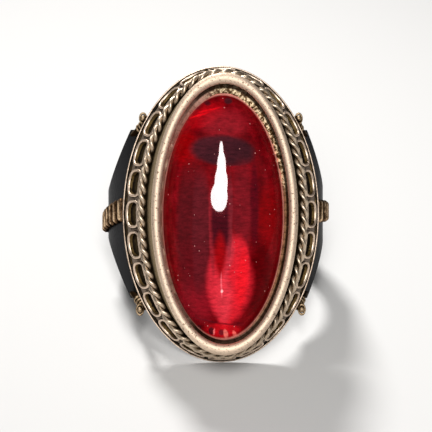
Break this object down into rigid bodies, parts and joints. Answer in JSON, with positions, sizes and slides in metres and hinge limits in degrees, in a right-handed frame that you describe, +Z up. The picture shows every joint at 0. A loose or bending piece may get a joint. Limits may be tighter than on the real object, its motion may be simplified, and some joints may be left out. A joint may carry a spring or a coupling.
{
  "type": "cabochon ring",
  "caption": "Long oval red cabochon in a high pierced head with a rim, serrated row and twisted wire, on a band with fan shoulders and ribbed coils.",
  "frame": {"origin": "on the floor, under the middle of the ring's box as it lies on its side", "axes": "+Z up; the face of the ring looks towards -Y and up; X runs across the finger; the long axis of the head leans in the YZ plane"},
  "size_m": [0.0226, 0.0308, 0.027],
  "materials": {
    "silver": "satin",
    "red_stone": "polished"
  },
  "bodies": {
    "root": {"setting": "silver", "stone": "red_stone"}
  },
  "joints": []
}
